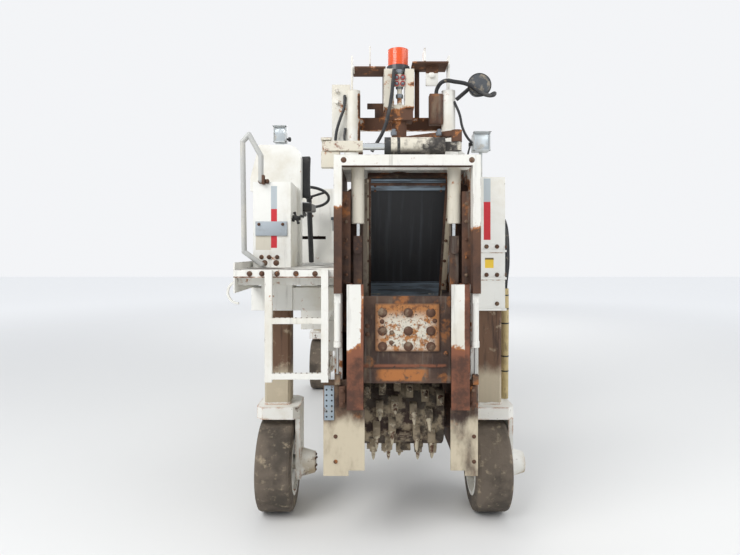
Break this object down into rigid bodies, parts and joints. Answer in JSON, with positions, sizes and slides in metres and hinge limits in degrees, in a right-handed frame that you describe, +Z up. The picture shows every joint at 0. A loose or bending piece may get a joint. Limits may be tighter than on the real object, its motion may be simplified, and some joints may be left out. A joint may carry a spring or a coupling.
{
  "type": "cold planer milling machine",
  "caption": "Compact wheeled cold planer: half-metre milling drum at the right rear, operator's platform at the left, four lifting columns, no conveyor fitted.",
  "frame": {"origin": "on the ground, in the middle of the machine's length and width", "axes": "+Y points to the machine's front, +X to its right side seen from behind, +Z up"},
  "size_m": [1.84, 4.4, 2.946],
  "materials": {
    "white_paint": "satin",
    "worn_paint": "matte",
    "rusty_steel": "matte",
    "dark_steel": "matte",
    "dusty_steel": "matte",
    "steel": "satin",
    "chrome": "polished",
    "belt_rubber": "matte",
    "tyre_rubber": "matte",
    "black_plastic": "matte",
    "orange_lens": "gloss",
    "lamp_grey": "satin"
  },
  "bodies": {
    "frame": {"main_frame": "white_paint", "rear_portal": "worn_paint", "drum_housing": "rusty_steel", "chute": "rusty_steel", "belt_panel": "belt_rubber", "plate_guides": "worn_paint", "rear_sleeve_left": "white_paint", "rear_sleeve_right": "white_paint", "front_sleeve_left": "white_paint", "front_sleeve_right": "white_paint", "front_beam": "white_paint", "mast": "worn_paint", "slew_anchor": "worn_paint", "scraper_barrels": "worn_paint", "side_plate_barrels": "white_paint", "platform": "white_paint", "side_ring": "white_paint", "ladder": "white_paint", "handrail": "steel", "console": "white_paint", "steering_wheel": "black_plastic", "seat": "black_plastic", "water_tank": "white_paint", "side_tanks": "white_paint", "engine_block": "dark_steel", "hood_base": "white_paint", "radiator": "dark_steel", "exhaust": "rusty_steel", "front_weight": "white_paint", "beacon": "orange_lens", "work_lights": "lamp_grey", "round_lamp": "black_plastic"},
    "column_rear_left": {"leg_rear_left": "white_paint"},
    "wheel_rear_left": {"tyre_rear_left": "tyre_rubber", "hub_rear_left": "worn_paint"},
    "column_rear_right": {"leg_rear_right": "white_paint"},
    "wheel_rear_right": {"tyre_rear_right": "tyre_rubber", "hub_rear_right": "worn_paint"},
    "column_front_left": {"leg_front_left": "white_paint"},
    "wheel_front_left": {"tyre_front_left": "tyre_rubber", "hub_front_left": "worn_paint"},
    "column_front_right": {"leg_front_right": "white_paint"},
    "wheel_front_right": {"tyre_front_right": "tyre_rubber", "hub_front_right": "worn_paint"},
    "steering_left": {"steer_collar_left": "steel"},
    "steering_right": {"steer_collar_right": "steel"},
    "track_rod": {"tie_rod": "steel"},
    "milling_drum": {"drum": "dark_steel", "drum_picks": "dusty_steel"},
    "scraper_blade": {"scraper": "rusty_steel", "scraper_rods": "chrome"},
    "edge_plate_left": {"side_plate_left": "rusty_steel"},
    "edge_plate_right": {"side_plate_right": "rusty_steel"},
    "conveyor_swivel": {"swivel_bracket": "worn_paint"},
    "slew_cylinder_rod": {"slew_rod": "chrome"},
    "slew_cylinder_barrel": {"slew_barrel": "worn_paint"},
    "engine_hood": {"hood": "white_paint"}
  },
  "joints": [
    {"name": "lift_rear_left", "type": "slide", "parent": "frame", "child": "column_rear_left", "axis": [0, 0, 1], "range_m": [-0.02, 0.55]},
    {"name": "lift_rear_right", "type": "slide", "parent": "frame", "child": "column_rear_right", "axis": [0, 0, 1], "range_m": [-0.02, 0.55]},
    {"name": "steer_left", "type": "hinge", "parent": "frame", "child": "steering_left", "pos_m": [-0.7, 1.63, 1.28], "axis": [0, 0, 1], "range_deg": [-25, 25]},
    {"name": "lift_front_left", "type": "slide", "parent": "steering_left", "child": "column_front_left", "axis": [0, 0, 1], "range_m": [-0.02, 0.55]},
    {"name": "steer_right", "type": "hinge", "parent": "frame", "child": "steering_right", "pos_m": [0.7, 1.63, 1.28], "axis": [0, 0, 1], "range_deg": [-25, 25]},
    {"name": "lift_front_right", "type": "slide", "parent": "steering_right", "child": "column_front_right", "axis": [0, 0, 1], "range_m": [-0.02, 0.55]},
    {"name": "spin_rear_left", "type": "hinge", "parent": "column_rear_left", "child": "wheel_rear_left", "pos_m": [-0.69, -1.57, 0.3], "axis": [1, 0, 0], "continuous": true},
    {"name": "spin_rear_right", "type": "hinge", "parent": "column_rear_right", "child": "wheel_rear_right", "pos_m": [0.68, -1.57, 0.3], "axis": [1, 0, 0], "continuous": true},
    {"name": "spin_front_left", "type": "hinge", "parent": "column_front_left", "child": "wheel_front_left", "pos_m": [-0.7, 1.63, 0.3], "axis": [1, 0, 0], "continuous": true},
    {"name": "spin_front_right", "type": "hinge", "parent": "column_front_right", "child": "wheel_front_right", "pos_m": [0.7, 1.63, 0.3], "axis": [1, 0, 0], "continuous": true},
    {"name": "track_rod_shift", "type": "slide", "parent": "frame", "child": "track_rod", "axis": [1, 0, 0], "range_m": [-0.085, 0.085]},
    {"name": "drum_spin", "type": "hinge", "parent": "frame", "child": "milling_drum", "pos_m": [0.115, -1.7, 0.68], "axis": [1, 0, 0], "continuous": true},
    {"name": "scraper_lift", "type": "slide", "parent": "frame", "child": "scraper_blade", "axis": [0, 0, 1], "range_m": [-0.3, 0.035]},
    {"name": "edge_plate_lift_left", "type": "slide", "parent": "frame", "child": "edge_plate_left", "axis": [0, 0, 1], "range_m": [-0.1, 0.12]},
    {"name": "edge_plate_lift_right", "type": "slide", "parent": "frame", "child": "edge_plate_right", "axis": [0, 0, 1], "range_m": [-0.1, 0.12]},
    {"name": "conveyor_slew", "type": "hinge", "parent": "frame", "child": "conveyor_swivel", "pos_m": [0.085, -1.9, 2.3], "axis": [0, 0, 1], "range_deg": [-25, 20]},
    {"name": "slew_rod_swing", "type": "hinge", "parent": "frame", "child": "slew_cylinder_rod", "pos_m": [-0.33, -2.105, 2.285], "axis": [0, 0, 1], "range_deg": [-11, 9]},
    {"name": "slew_stroke", "type": "slide", "parent": "slew_cylinder_rod", "child": "slew_cylinder_barrel", "axis": [1, 0, 0], "range_m": [-0.09, 0.072]},
    {"name": "hood_tilt", "type": "hinge", "parent": "frame", "child": "engine_hood", "pos_m": [0, 2.172, 1.65], "axis": [-1, 0, 0], "range_deg": [0, 50]}
  ],
  "couplings": [
    {"joint": "steer_right", "follows": "steer_left", "ratio": 1},
    {"joint": "track_rod_shift", "follows": "steer_left", "m_per_rad": -0.186},
    {"joint": "slew_rod_swing", "follows": "conveyor_slew", "ratio": 0.427},
    {"joint": "slew_stroke", "follows": "conveyor_slew", "m_per_rad": 0.2}
  ]
}
